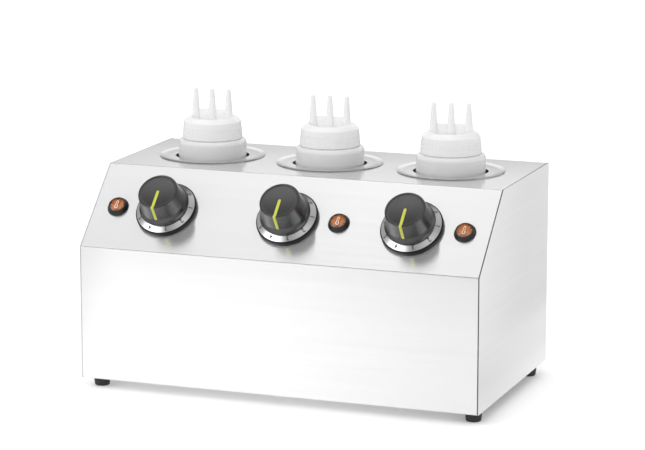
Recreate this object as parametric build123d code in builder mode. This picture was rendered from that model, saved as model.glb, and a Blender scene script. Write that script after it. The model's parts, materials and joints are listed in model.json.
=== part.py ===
"""Countertop warmer for three squeeze bottles of topping, built as separate pieces.

Frame: millimetres, +Z up, the feet stand on z = 0, the control slope faces -Y, and the
origin lies under the middle of the whole object's box. Stations 1 to 3 run along +X.
"""
from build123d import *
from math import atan2, cos, degrees, sin
import os

# ---------------------------------------------------------------- housing
body_w = 430.0          # width over the two side panels
body_d = 240.0          # depth, front face to rear face
body_h = 213.0          # height of the housing without its feet
front_h = 139.0         # upright part of the front, up to the control slope
slope_run = 77.0        # horizontal run of the control slope
sheet_t = 1.0           # stainless sheet
bend_r = 1.8            # outside radius of a bend
seam = 0.25             # visible joint between two sheets
flange_w = 12.0         # stiffening flanges behind the seams
side_sole_w = 24.0      # return flange under each side panel
sole_w = 15.0           # return flanges under the front and the rear
relief = 1.5            # corner relief between two flanges
rear_lip = 1.0          # the rear panel stops this far under the top

# ---------------------------------------------------------------- feet
foot_h = 12.0
foot_top_r = 9.0
foot_bottom_r = 7.8
foot_inset_x = 12.0     # foot axis from the side face
foot_inset_y = 24.0     # foot axis from the front and rear faces
foot_bevel_h = 1.0
foot_bevel_w = 1.0
foot_screw_gap = 0.6    # counterbore round the screw's head

# ---------------------------------------------------------------- stations
station_margin = 82.0   # outer stations' axis from the side faces
well_y = 160.0          # well axis behind the front face
knob_v = 52.0           # knob axis up the control slope from its lower edge
lamp_offset = 55.0      # lamp axis from the nearest knob axis

# ---------------------------------------------------------------- bottle wells
well_r = 38.75          # inside radius
well_wall = 0.8
well_depth = 184.0      # panel top to the well floor
well_corner_r = 8.0
well_spacing = 20.6     # free steel between two neighbouring flanges
well_lip_r = 1.2        # rounding from the bore to the flange
well_dish_h = 0.5       # flange above the panel, next to the bore
well_rim_h = 1.3        # flange above the panel, at its rim
well_rim_w = 7.0        # width over which the flange rises to its rim
well_rim_edge_r = 0.3
well_hole_gap = 0.4     # cup to the hole in the top panel

# ---------------------------------------------------------------- squeeze bottles
bottle_r = 36.0
bottle_wall = 1.2
bottle_base_r = 6.0     # rounding round the base
bottle_pushup = 3.0     # hollow under the base
bottle_pushup_r = 19.8
bottle_stand_w = 2.0    # flat ring that the bottle stands on
shoulder_h = 18.6       # shoulder height above the top panel
shoulder_arc = 5.0
neck_r = 28.0
neck_wall = 1.6
neck_h = 16.4           # shoulder to the mouth
neck_ring_r = 30.2      # bead under the cap skirt
neck_ring_h = 0.7
neck_ring_edge = 0.3    # blunted edge of the bead

# ---------------------------------------------------------------- nozzle caps
cap_h = 22.0
cap_skirt_r = 31.5      # bottom of the skirt
cap_shoulder_r = 30.1   # where the bevel starts
cap_shoulder_h = 17.2
cap_top_r = 25.6        # where the bevel ends
cap_wall = 1.6
cap_gap = 0.8           # skirt above the bottle's shoulder
cap_recess_r = 21.6
cap_recess_floor_r = 20.2
cap_recess_depth = 4.0
cap_thread_gap = 0.6    # skirt's inside to the neck
cap_lead = 0.6          # lead-in at the skirt's mouth
cap_edge = 0.5          # blunted edges of the bevel
cap_seal = 0.6          # sealing land inside the mouth
cap_rib_count = 60
cap_rib_h = 12.5
cap_rib_w = 1.0
cap_rib_proud = 0.4
cap_rib_low = 1.2       # lower end of a rib above the skirt's edge
cap_rib_root = 0.6      # how deep a rib is rooted in the skirt
nozzle_pitch = 18.4
nozzle_h = 29.3         # above the cap's top
nozzle_base_r = 4.3
nozzle_tip_r = 2.15
nozzle_tip_bore_r = 1.1
nozzle_tip_round = 0.5  # blunted edge of the tip
nozzle_bore_taper = 4.0 # straight end of the bore
nozzle_base_bore_r = 2.9
web_h = 7.7             # bridge between the nozzles, above the cap's top
web_t = 1.6
web_root = 0.5          # how deep the bridge is rooted in the recess
bottle_turns = (2.5, 3.0, 9.0)      # how each bottle stands turned in its well

# ---------------------------------------------------------------- knobs and dials
knob_h = 34.0           # face above the panel
knob_face_r = 21.0
knob_rim_w = 1.6        # rim round the dished face, with its rounding
knob_rim_r = 1.2        # rounding of the rim
knob_face_drop = 0.6    # the face lies below its rim
knob_cove_w = 1.8       # cove from the face up to the rim
knob_waist_r = 23.3
knob_waist_h = 17.0
knob_lip_r = 26.2
knob_lip_h = 11.6
knob_bottom_h = 10.4
knob_wall = 2.0
knob_lip_w = 1.2        # width of the skirt's lower edge
knob_hub_r = 6.0
knob_hub_h = 12.5       # hub's lower end above the panel
knob_rib_t = 1.4
knob_rib_h = 19.0       # lower edge of the ribs above the panel
knob_bore_spare = 0.3   # bore's depth past the spindle
pointer_w = 3.0
pointer_depth = 0.8     # groove that holds the inlay
pointer_proud = 0.15
pointer_end_h = 16.6    # lower end on the knob's flank
bezel_r = 32.4
bezel_skirt_h = 4.4
bezel_floor_t = 2.0
bezel_inner_r = 23.2
bezel_edge_r = 0.8
bushing_gap = 0.3       # bezel to the thermostat's bushing
scale_outer_r = 31.0
scale_inner_r = 24.6
scale_outer_h = 5.3     # top face of the scale at its outer edge
scale_inner_h = 8.2
scale_t = 0.6
shaft_r = 3.0
shaft_flat = 1.6        # flat's distance from the axis
shaft_top_h = 27.0
shaft_inner = 20.0      # shaft's length behind the panel
shaft_play = 0.05
shaft_chamfer = 0.5
shaft_end_gap = 0.5     # bore of the thermostat past the spindle's end
bushing_r = 5.0
bushing_h = 1.6

# ---------------------------------------------------------------- thermostats
stat_w = 34.0
stat_l = 44.0
stat_depth = 30.0
stat_plate_t = 1.5
stat_plate_l = 54.0
stat_plate_w = 24.0
stat_corner_r = 4.0
stat_case_corner_r = 3.0
stat_blade_x = 19.0     # pitch of the blade terminals
stat_blade_y = 26.0
stat_screw_pitch = 28.0
screw_r = 1.95
screw_hole_r = 2.05
stat_screw_l = 9.0      # shank under the head
blade_w = 6.3
blade_t = 0.8
blade_l = 9.0
bulb_r = 3.0
bulb_l = 62.0
bulb_gap = 0.2
bulb_over_band = 8.0    # bulb's lower end above the heater
bulb_round = 1.2
capillary_r = 1.0
capillary_run = 14.0    # straight out of the thermostat's back
capillary_rise = 15.0   # height of the loop over the bulb
capillary_bend_r = 5.0
capillary_sunk = 2.0    # how far the tube goes into the bulb

# ---------------------------------------------------------------- heaters
band_t = 2.6
band_h = 56.0
band_low = 34.0         # band's lower edge above the well floor
band_gap = 0.1
band_split = 8.0        # opening closed by the clamp screw
band_lug_l = 12.0
band_lug_t = 2.0
band_lug_h = 22.4
band_lug_lap = 1.0      # the lugs and the terminal housing are fused this deep
band_box_l = 22.0       # ceramic terminal housing on the band's left flank
band_box_h = 26.0
band_box_t = 10.0
band_blade_pitch = 10.0
clamp_l = 18.0

# ---------------------------------------------------------------- signal lamps
lamp_r = 11.3
lamp_top_r = 9.3
lamp_h = 4.6
lamp_barrel_r = 7.9
lamp_barrel_l = 26.0
lamp_barrel_chamfer = 1.0
lamp_edge_h = 0.8       # upright edge of the collar
lamp_cavity_l = 15.6    # depth of the hollow behind the lens
lamp_ledge = 2.0        # width of the lens seat
lamp_blade_w = 4.8
lamp_blade_pitch = 7.0
lamp_hole_gap = 0.2
lens_gap = 0.1
lens_r = 8.1
lens_seat_h = 2.4
lens_rim_h = 4.4
lens_dome = 0.9
lamp_nut_af = 21.0
lamp_nut_t = 4.0

# ---------------------------------------------------------------- cable entry
gland_side = 65.0       # axis from the right side face
gland_z = 32.0          # axis above the housing's underside
gland_bore_r = 4.5
gland_thread_r = 7.9
gland_hole_gap = 0.2
gland_hex_af = 20.0
gland_hex_t = 4.5
gland_nut_af = 19.0
gland_nut_l = 13.5
gland_inner_l = 10.0
gland_lip = 1.2         # flat ring round the mouth
gland_dome_h = 6.5      # domed end of the clamping nut
gland_dome_r = 7.9      # where the dome turns in towards its mouth
gland_dome_lip = 1.3
gland_dome_shoulder = 3.6
locknut_af = 22.0
locknut_t = 4.5
thread_gap = 0.1        # plain nuts round plain barrels

# ---------------------------------------------------------------- terminal block
block_l = 42.0
block_w = 22.0
block_h = 18.0
block_poles = 3
block_rear = 30.0       # middle of the block in front of the rear face
block_slot_h = 8.1      # the chambers stand on a common foot of this height
block_slot_w = 2.0
block_screw_r = 2.2
block_screw_depth = 5.0
block_wire_r = 2.6
block_wire_h = 7.5

# ---------------------------------------------------------------- vents and screws
vent_w = 3.2
rear_vent_l = 34.0
rear_vent_drop = 72.0   # middle of the rear vents under the top
base_vent_l = 51.0
vent_pitch = 9.0
rear_vents = 9
base_vents = 11
pan_r = 3.7             # heads of the case screws
pan_h = 2.2
pan_top_r = 2.7         # flat top of a head
pan_edge_h = 1.0        # upright edge of a head
case_screw_l = 6.0
rear_screw_inset = 8.0  # axis from the side face
rear_screw_pitch = 60.0
screw_tip = 0.5         # chamfer at a screw's end
cross_w = 0.8           # arms of the cross recess

# ---------------------------------------------------------------- derived places
slope_rise = body_h - front_h
slope_angle = atan2(slope_rise, slope_run)
pointer_reach = knob_h - knob_rim_r
knob_reach = (
    pointer_reach * sin(slope_angle) + knob_rim_r + pointer_proud
    - (knob_v - knob_face_r + knob_rim_r) * cos(slope_angle)
)                       # how far the knob's rim stands in front of the front face
rear_reach = gland_hex_t + gland_nut_l
front_y = (max(knob_reach, 0.0) - body_d - rear_reach) / 2
rear_y = front_y + body_d
base_z = foot_h
top_z = base_z + body_h
inner_x = body_w / 2 - sheet_t
station_pitch = body_w / 2 - station_margin
well_flange_r = (station_pitch - well_spacing) / 2
stations = [(index - 1) * station_pitch for index in range(3)]
gland_x = body_w / 2 - gland_side
lamp_xs = [stations[0] - lamp_offset, stations[1] + lamp_offset, stations[2] + lamp_offset]
floor_z = top_z - well_depth

os.makedirs("parts", exist_ok=True)


def save(builder, name):
    """Label a finished piece and write it as its own file."""
    builder.part.label = name
    export_step(builder.part, f"parts/{name}.step")


def on_slope(x, v=knob_v):
    """Plane on the control slope: x along the panel, y up the slope, z out of it."""
    return Plane(
        origin=(x, front_y + v * cos(slope_angle), base_z + front_h + v * sin(slope_angle)),
        x_dir=(1, 0, 0),
        z_dir=(0, -sin(slope_angle), cos(slope_angle)),
    )


def through(plane):
    """Plane holding the axis of another plane: x as before, y along its normal."""
    return Plane(origin=plane.origin, x_dir=plane.x_dir, z_dir=-plane.y_dir)


def axis_of(plane):
    return Axis(plane.origin, plane.z_dir)


def turned(plane, points, mode=Mode.ADD):
    """Revolve a closed outline of (radius, height) points about the plane's normal."""
    with BuildSketch(through(plane)) as outline:
        with BuildLine():
            Polyline(*points, close=True)
        make_face()
    return revolve(outline.sketch, axis=axis_of(plane), mode=mode)


# ================================================================ housing
def section(inset=0.0):
    """Cross-section of the housing as (y, z), inset from its outer faces."""
    with BuildSketch() as outline:
        with BuildLine():
            Polyline(
                (front_y, base_z),
                (front_y, base_z + front_h),
                (front_y + slope_run, top_z),
                (rear_y, top_z),
                (rear_y, base_z),
                close=True,
            )
        make_face()
        front_corners = outline.vertices().sort_by(Axis.X)[:3]
        fillet(front_corners, radius=bend_r)
        if inset:
            offset(amount=-inset, mode=Mode.REPLACE)
    return outline.sketch


def make_wrap_panel():
    """One bent sheet: sole flange, front, control slope, top and rear flange."""
    half = inner_x - seam
    with BuildPart() as panel:
        with BuildSketch(Plane.YZ.offset(-half)) as bent:
            with BuildLine():
                FilletPolyline(
                    (front_y + sole_w, base_z),
                    (front_y, base_z),
                    (front_y, base_z + front_h),
                    (front_y + slope_run, top_z),
                    (rear_y - sheet_t, top_z),
                    (rear_y - sheet_t, top_z - flange_w),
                    radius=bend_r,
                )
                offset(amount=sheet_t, side=Side.RIGHT)
            make_face()
        extrude(amount=2 * half)
        # openings for the three wells
        with BuildSketch(Plane.XY.offset(top_z)):
            with Locations(*[(x, front_y + well_y) for x in stations]):
                Circle(well_r + well_wall + well_hole_gap)
        extrude(amount=-2 * sheet_t, mode=Mode.SUBTRACT)
        # shaft, screw and lamp holes in the control slope
        with BuildSketch(on_slope(0)):
            for x in stations:
                with Locations((x, 0)):
                    Circle(bushing_r + bushing_gap)
                    with GridLocations(stat_screw_pitch, 1, 2, 1):
                        Circle(screw_hole_r)
            with Locations(*[(x, 0) for x in lamp_xs]):
                Circle(lamp_barrel_r + lamp_hole_gap)
        extrude(amount=-2 * sheet_t, mode=Mode.SUBTRACT)
        # holes for the case screws in the two flanges
        with BuildSketch(Plane.XZ.offset(-(rear_y + 1))):
            with Locations(*rear_top_screws()):
                Circle(screw_hole_r)
        extrude(amount=sheet_t * 2 + 2, mode=Mode.SUBTRACT)
        with BuildSketch(Plane.XY.offset(base_z)):
            with Locations(*sole_screws()[:3]):
                Circle(screw_hole_r)
        extrude(amount=sheet_t, mode=Mode.SUBTRACT)
    save(panel, "wrap_panel")


def rear_top_screws():
    """Case screws along the top of the rear panel, as (x, z)."""
    z = top_z - flange_w / 2 - rear_lip
    return [(x, z) for x in stations]


def rear_side_screws():
    """Case screws up the two sides of the rear panel, as (x, z)."""
    middle = base_z + body_h / 2
    heights = [middle - rear_screw_pitch, middle, middle + rear_screw_pitch]
    return [(side * (body_w / 2 - rear_screw_inset), z) for side in (-1, 1) for z in heights]


def sole_screws():
    """Case screws under the base plate, as (x, y): three in front, three behind."""
    rows = (front_y + sole_w / 2, rear_y - sole_w / 2)
    return [(x, y) for y in rows for x in stations]


def foot_places():
    return [
        (side * (body_w / 2 - foot_inset_x), y)
        for y in (front_y + foot_inset_y, rear_y - foot_inset_y)
        for side in (-1, 1)
    ]


def make_side_panel(side, name):
    """Flat side sheet with flanges that lie behind the wrap and the rear panel."""
    outer = side * body_w / 2
    inward = -side
    with BuildPart() as panel:
        with BuildSketch(Plane.YZ.offset(outer)):
            add(section())
        extrude(amount=inward * sheet_t)
        with BuildSketch(Plane.YZ.offset(outer)):
            add(section(sheet_t))
            add(section(2 * sheet_t), mode=Mode.SUBTRACT)
            # the bottom run is a sole flange of its own
            with Locations((front_y + body_d / 2, base_z)):
                Rectangle(body_d + 2, 2 * (2 * sheet_t + relief), mode=Mode.SUBTRACT)
            # room for the wrap's rear flange
            with Locations((rear_y, top_z)):
                Rectangle(
                    2 * (2 * sheet_t + relief), 2 * (flange_w + relief), mode=Mode.SUBTRACT
                )
        extrude(amount=inward * (sheet_t + flange_w))
        with BuildSketch(Plane.XY.offset(base_z)):
            with Locations((outer + inward * side_sole_w / 2, front_y + body_d / 2)):
                Rectangle(side_sole_w, body_d - 2 * (sole_w + relief))
            with Locations(*foot_places()):
                Circle(screw_hole_r, mode=Mode.SUBTRACT)
        extrude(amount=sheet_t)
        with BuildSketch(Plane.XZ.offset(-rear_y)):
            with Locations(*rear_side_screws()):
                Circle(screw_hole_r)
        extrude(amount=2.5 * sheet_t, mode=Mode.SUBTRACT)
    save(panel, name)


def make_rear_panel():
    """Rear sheet with a sole flange, vent slots and the hole for the cable gland."""
    half = inner_x - seam
    with BuildPart() as panel:
        with BuildSketch(Plane.YZ.offset(-half)):
            with BuildLine():
                FilletPolyline(
                    (rear_y - sole_w, base_z),
                    (rear_y, base_z),
                    (rear_y, top_z - rear_lip),
                    radius=bend_r,
                )
                offset(amount=sheet_t, side=Side.LEFT)
            make_face()
        extrude(amount=2 * half)
        with BuildSketch(Plane.XZ.offset(-rear_y)):
            with Locations(*rear_side_screws(), *rear_top_screws()):
                Circle(screw_hole_r)
            with Locations((gland_x, base_z + gland_z)):
                Circle(gland_thread_r + gland_hole_gap)
            with Locations((0, top_z - rear_vent_drop)):
                with GridLocations(vent_pitch, 1, rear_vents, 1):
                    SlotOverall(rear_vent_l, vent_w, rotation=90)
        extrude(amount=1.5 * sheet_t, mode=Mode.SUBTRACT)
        with BuildSketch(Plane.XY.offset(base_z)):
            with Locations(*sole_screws()[3:]):
                Circle(screw_hole_r)
        extrude(amount=sheet_t, mode=Mode.SUBTRACT)
    save(panel, "rear_panel")


def make_base_plate():
    """Flat plate that lies on the sole flanges, with vent slots under the wells."""
    with BuildPart() as plate:
        with BuildSketch(Plane.XY.offset(base_z + sheet_t)):
            with Locations((0, front_y + body_d / 2)):
                Rectangle(2 * (inner_x - relief), body_d - 2 * (sheet_t + relief))
            with Locations(*foot_places(), *sole_screws()):
                Circle(screw_hole_r, mode=Mode.SUBTRACT)
            with Locations(*[(x, front_y + well_y) for x in stations]):
                with GridLocations(1, vent_pitch, 1, base_vents):
                    SlotOverall(base_vent_l, vent_w, mode=Mode.SUBTRACT)
        extrude(amount=sheet_t)
    save(plate, "base_plate")


def make_foot(x, y, name):
    """Tapered rubber foot with a counterbore for its screw."""
    with BuildPart() as foot:
        turned(
            Plane((x, y, 0)),
            [
                (screw_hole_r, foot_h),
                (foot_top_r, foot_h),
                (foot_bottom_r, foot_bevel_h),
                (foot_bottom_r - foot_bevel_w, 0),
                (pan_r + foot_screw_gap, 0),
                (pan_r + foot_screw_gap, foot_h / 2),
                (screw_hole_r, foot_h / 2),
            ],
        )
    save(foot, name)


def pan_screw(plane, length):
    """A pan-head screw: the head's underside lies on the plane, the shank behind it."""
    turned(
        plane,
        [
            (0, -length),
            (screw_r - screw_tip, -length),
            (screw_r, -length + screw_tip),
            (screw_r, 0),
            (pan_r, 0),
            (pan_r, pan_edge_h),
            (pan_top_r, pan_h),
            (0, pan_h),
        ],
    )
    with BuildSketch(plane.offset(pan_h)) as cross:
        Rectangle(pan_r, cross_w)
        Rectangle(cross_w, pan_r)
    extrude(cross.sketch, amount=-pan_h / 2, mode=Mode.SUBTRACT)


def make_case_screws():
    with BuildPart() as screws:
        for x, z in rear_side_screws() + rear_top_screws():
            pan_screw(Plane((x, rear_y, z), x_dir=(-1, 0, 0), z_dir=(0, 1, 0)), case_screw_l)
    save(screws, "rear_screws")
    with BuildPart() as screws:
        for x, y in sole_screws():
            pan_screw(Plane((x, y, base_z), x_dir=(1, 0, 0), z_dir=(0, 0, -1)), case_screw_l)
    save(screws, "base_screws")
    with BuildPart() as screws:
        for x, y in foot_places():
            seat = Plane((x, y, foot_h / 2), x_dir=(1, 0, 0), z_dir=(0, 0, -1))
            pan_screw(seat, foot_h / 2 + 2 * sheet_t + 3)
    save(screws, "foot_screws")


# ================================================================ wells and heaters
def make_well(x, name):
    """Deep cup with a dished flange that lies on the top panel."""
    centre = Plane((x, front_y + well_y, top_z))
    outer_r = well_r + well_wall
    edge_low = well_rim_h - well_rim_edge_r
    with BuildPart() as well:
        with BuildSketch(through(centre)) as wall:
            with BuildLine():
                l1 = Line((0, -well_depth), (well_r - well_corner_r, -well_depth))
                a1 = RadiusArc(
                    l1 @ 1, (well_r, -well_depth + well_corner_r), -well_corner_r
                )
                l2 = Line(a1 @ 1, (well_r, well_dish_h - well_lip_r))
                a2 = RadiusArc(l2 @ 1, (well_r + well_lip_r, well_dish_h), well_lip_r)
                l3 = Line(a2 @ 1, (well_flange_r - well_rim_w, well_dish_h))
                a3 = TangentArc(
                    l3 @ 1, (well_flange_r - well_rim_edge_r, well_rim_h), tangent=(1, 0)
                )
                a4 = RadiusArc(a3 @ 1, (well_flange_r, edge_low), well_rim_edge_r)
                l4 = Polyline(
                    a4 @ 1,
                    (well_flange_r, 0),
                    (outer_r, 0),
                    (outer_r, -well_depth + well_corner_r),
                )
                a5 = RadiusArc(
                    l4 @ 1,
                    (well_r - well_corner_r, -well_depth - well_wall),
                    well_corner_r + well_wall,
                )
                Polyline(a5 @ 1, (0, -well_depth - well_wall), l1 @ 0)
            make_face()
        revolve(wall.sketch, axis=axis_of(centre))
    save(well, name)


def band_plane(x):
    return Plane((x, front_y + well_y, floor_z + band_low))


def band_inner():
    return well_r + well_wall + band_gap


def make_heater_band(x, name):
    """Band heater round the lower half of a well, split and clamped at the rear."""
    plane = band_plane(x)
    inner = band_inner()
    split_angle = degrees(band_split / inner)
    lug_x = band_split / 2 + band_lug_t / 2
    lug_y = inner + band_t + band_lug_l / 2 - band_lug_lap
    box_x = inner + band_t + band_box_t / 2 - band_lug_lap
    with BuildPart() as band:
        with BuildSketch(Plane(plane.origin, x_dir=(0, 1, 0), z_dir=(1, 0, 0))) as wall:
            with Locations((inner + band_t / 2, band_h / 2)):
                Rectangle(band_t, band_h)
        revolve(
            wall.sketch, axis=axis_of(plane), revolution_arc=360 - split_angle
        )
        # turn the split to the middle of the rear
        band.part = band.part.rotate(axis_of(plane), split_angle / 2)
        for side in (-1, 1):
            with Locations(plane * Location((side * lug_x, lug_y, band_h / 2))):
                Box(band_lug_t, band_lug_l, band_lug_h)
        with Locations(plane * Location((0, lug_y + band_lug_lap, band_h / 2), (0, 90, 0))):
            Cylinder(screw_hole_r, 2 * band_split, mode=Mode.SUBTRACT)
        with Locations(plane * Location((-box_x, 0, band_h / 2))):
            Box(band_box_t, band_box_l, band_box_h)
        with Locations(plane * Location((-box_x - band_box_t / 2, 0, band_h / 2))):
            with GridLocations(1, band_blade_pitch, 1, 2):
                Box(blade_l, blade_t, blade_w, align=(Align.MAX, Align.CENTER, Align.CENTER))
    save(band, name)


def make_clamp_screws():
    """One screw through the two lugs of each band heater."""
    inner = band_inner()
    lug_y = inner + band_t + band_lug_l / 2
    head_x = band_split / 2 + band_lug_t
    with BuildPart() as screws:
        for x in stations:
            seat = Plane(
                (x + head_x, front_y + well_y + lug_y, floor_z + band_low + band_h / 2),
                x_dir=(0, 1, 0),
                z_dir=(1, 0, 0),
            )
            pan_screw(seat, clamp_l)
    save(screws, "heater_clamp_screws")


# ================================================================ thermostats
def make_thermostat(x, name):
    """Capillary thermostat behind the slope: plate, case, bushing and blade terminals."""
    plane = on_slope(x)
    back = plane.offset(-sheet_t)
    with BuildPart() as stat:
        with BuildSketch(back) as plate:
            Rectangle(stat_plate_l, stat_plate_w)
            fillet(plate.vertices(), radius=stat_corner_r)
        extrude(amount=-stat_plate_t)
        with BuildSketch(back.offset(-stat_plate_t)) as case:
            Rectangle(stat_w, stat_l)
            fillet(case.vertices(), radius=stat_case_corner_r)
        extrude(amount=-stat_depth)
        with BuildSketch(back):
            Circle(bushing_r)
        extrude(amount=sheet_t + bushing_h)
        with BuildSketch(back):
            with GridLocations(stat_screw_pitch, 1, 2, 1):
                Circle(screw_hole_r)
        extrude(amount=-stat_screw_l - 1, mode=Mode.SUBTRACT)
        with BuildSketch(plane.offset(bushing_h)):
            Circle(shaft_r + shaft_play)
        extrude(amount=-bushing_h - shaft_inner - shaft_end_gap, mode=Mode.SUBTRACT)
        with BuildSketch(back.offset(-stat_plate_t - stat_depth)):
            with GridLocations(stat_blade_x, stat_blade_y, 2, 2):
                Rectangle(blade_w, blade_t)
        extrude(amount=-blade_l)
    save(stat, name)


def make_shaft(x, name):
    """Thermostat spindle with a flat where the knob sits."""
    plane = on_slope(x)
    with BuildPart() as shaft:
        with BuildSketch(plane.offset(-shaft_inner)):
            Circle(shaft_r)
        extrude(amount=shaft_inner + shaft_top_h)
        chamfer(shaft.faces().sort_by(axis_of(plane))[-1].edges(), length=shaft_chamfer)
        with BuildSketch(plane.offset(knob_hub_h)):
            with Locations((0, shaft_flat + shaft_r)):
                Rectangle(2 * shaft_r, 2 * shaft_r)
        extrude(amount=shaft_top_h - knob_hub_h, mode=Mode.SUBTRACT)
    save(shaft, name)


def make_sensor(x, name):
    """Capillary tube from the thermostat to a bulb that stands against the well."""
    plane = on_slope(x)
    start_h = -(sheet_t + stat_plate_t + stat_depth)
    start = plane.origin + plane.z_dir * start_h
    run = plane.origin + plane.z_dir * (start_h - capillary_run)
    bulb_y = front_y + well_y - well_r - well_wall - bulb_gap - bulb_r
    bulb_top = floor_z + band_low + band_h + bulb_over_band + bulb_l
    bend_y = (run.Y + bulb_y) / 2
    with BuildPart() as sensor:
        with BuildLine() as route:
            FilletPolyline(
                start,
                run,
                (x, bend_y, bulb_top + capillary_rise + capillary_r),
                (x, bulb_y, bulb_top + capillary_rise - capillary_r),
                (x, bulb_y, bulb_top - capillary_sunk),
                radius=capillary_bend_r,
            )
        with BuildSketch(Plane(route.line @ 0, z_dir=route.line % 0)):
            Circle(capillary_r)
        sweep()
        with Locations((x, bulb_y, bulb_top)):
            Cylinder(
                bulb_r, bulb_l, align=(Align.CENTER, Align.CENTER, Align.MAX)
            )
        bulb_ends = sensor.edges().filter_by(GeomType.CIRCLE)
        fillet([e for e in bulb_ends if abs(e.radius - bulb_r) < 0.01], radius=bulb_round)
    save(sensor, name)


def make_stat_screws():
    with BuildPart() as screws:
        for x in stations:
            for side in (-1, 1):
                seat = on_slope(x).offset(bezel_floor_t)
                seat = Plane(
                    seat.origin + Vector(side * stat_screw_pitch / 2, 0, 0),
                    x_dir=seat.x_dir,
                    z_dir=seat.z_dir,
                )
                pan_screw(seat, stat_screw_l)
    save(screws, "thermostat_screws")


# ================================================================ dials and knobs
def make_bezel(x, name):
    """Black dial base, clamped on the panel by the two thermostat screws."""
    plane = on_slope(x)
    with BuildPart() as bezel:
        turned(
            plane,
            [
                (bushing_r + bushing_gap, 0),
                (bezel_r, 0),
                (bezel_r, bezel_skirt_h - bezel_edge_r),
                (bezel_r - bezel_edge_r * 0.3, bezel_skirt_h - bezel_edge_r * 0.3),
                (bezel_r - bezel_edge_r, bezel_skirt_h),
                (scale_outer_r, bezel_skirt_h),
                (scale_outer_r, scale_outer_h - scale_t),
                (scale_inner_r, scale_inner_h - scale_t),
                (bezel_inner_r, scale_inner_h - scale_t),
                (bezel_inner_r, bezel_floor_t),
                (bushing_r + bushing_gap, bezel_floor_t),
            ],
        )
        with BuildSketch(plane):
            with GridLocations(stat_screw_pitch, 1, 2, 1):
                Circle(screw_hole_r)
        extrude(amount=bezel_floor_t, mode=Mode.SUBTRACT)
    save(bezel, name)


def make_scale(x, name):
    """Thin conical metal ring that carries the numbers."""
    with BuildPart() as scale:
        turned(
            on_slope(x),
            [
                (scale_outer_r, scale_outer_h - scale_t),
                (scale_outer_r, scale_outer_h),
                (scale_inner_r, scale_inner_h),
                (scale_inner_r, scale_inner_h - scale_t),
            ],
        )
    save(scale, name)


def pointer_window(plane):
    """Slab that bounds the inlay: from the middle of the face down the flank, round at both ends."""
    end_r = pointer_w / 2
    with BuildSketch(through(plane)) as window:
        with Locations((0, pointer_end_h + end_r)):
            Circle(end_r)
            Rectangle(pointer_w, knob_h, align=(Align.CENTER, Align.MIN))
    with BuildSketch(plane.offset(knob_waist_h)) as start:
        Circle(end_r)
    slab = extrude(window.sketch, amount=knob_face_r * 2, mode=Mode.PRIVATE)
    return slab + extrude(start.sketch, amount=knob_h, mode=Mode.PRIVATE)


def knob_blank(plane, grow=0.0):
    """The knob's outer form, grown by a skin thickness, as a plain turned solid."""
    face_h = knob_h - knob_face_drop
    rim_inner = knob_face_r - knob_rim_w
    rim_low = (knob_face_r, knob_h - knob_rim_r)
    waist = (knob_waist_r, knob_waist_h)
    lip = (knob_lip_r, knob_lip_h)
    with BuildSketch(through(plane)) as form:
        with BuildLine():
            Line((0, face_h), (rim_inner - knob_cove_w, face_h))
            TangentArc((rim_inner - knob_cove_w, face_h), (rim_inner, knob_h), tangent=(1, 0))
            Line((rim_inner, knob_h), (knob_face_r - knob_rim_r, knob_h))
            RadiusArc((knob_face_r - knob_rim_r, knob_h), rim_low, knob_rim_r)
            flank = Line(rim_low, waist)
            TangentArc(waist, lip, tangent=flank % 1)
            Polyline(lip, (knob_lip_r, knob_bottom_h), (0, knob_bottom_h))
            mirror(about=Plane.YZ)
        make_face()
        if grow:
            offset(amount=grow, mode=Mode.REPLACE)
        split(bisect_by=Plane.YZ, keep=Keep.TOP)
    return revolve(form.sketch, axis=axis_of(plane), mode=Mode.PRIVATE)


def make_knob(x, name, pointer_name):
    """Hollow flared knob with a D-bored hub, and the inlaid pointer line."""
    plane = on_slope(x)
    roof = knob_h - knob_face_drop - knob_wall
    window = pointer_window(plane)
    body = knob_blank(plane)
    core = knob_blank(plane, -pointer_depth)
    groove = (window & body) - core
    with BuildPart() as knob:
        add(body)
        turned(
            plane,
            [
                (0, knob_bottom_h),
                (knob_lip_r - knob_lip_w, knob_bottom_h),
                (knob_waist_r - knob_wall, knob_waist_h),
                (knob_face_r - knob_wall, roof),
                (0, roof),
            ],
            mode=Mode.SUBTRACT,
        )
        with BuildSketch(plane.offset(knob_hub_h)):
            Circle(knob_hub_r)
        extrude(amount=roof - knob_hub_h)
        # four ribs tie the hub to the skirt
        with BuildSketch(plane.offset(knob_rib_h)):
            for angle in (45, 135):
                Rectangle(2 * (knob_waist_r - knob_wall), knob_rib_t, rotation=angle)
        extrude(amount=roof - knob_rib_h)
        with BuildSketch(plane.offset(knob_hub_h)):
            Circle(shaft_r + shaft_play)
            with Locations((0, shaft_flat + shaft_play + shaft_r)):
                Rectangle(3 * shaft_r, 2 * shaft_r, mode=Mode.SUBTRACT)
        extrude(amount=shaft_top_h - knob_hub_h + knob_bore_spare, mode=Mode.SUBTRACT)
        add(groove, mode=Mode.SUBTRACT)
    save(knob, name)
    with BuildPart() as pointer:
        add((window & knob_blank(plane, pointer_proud)) - core)
    save(pointer, pointer_name)


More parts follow.
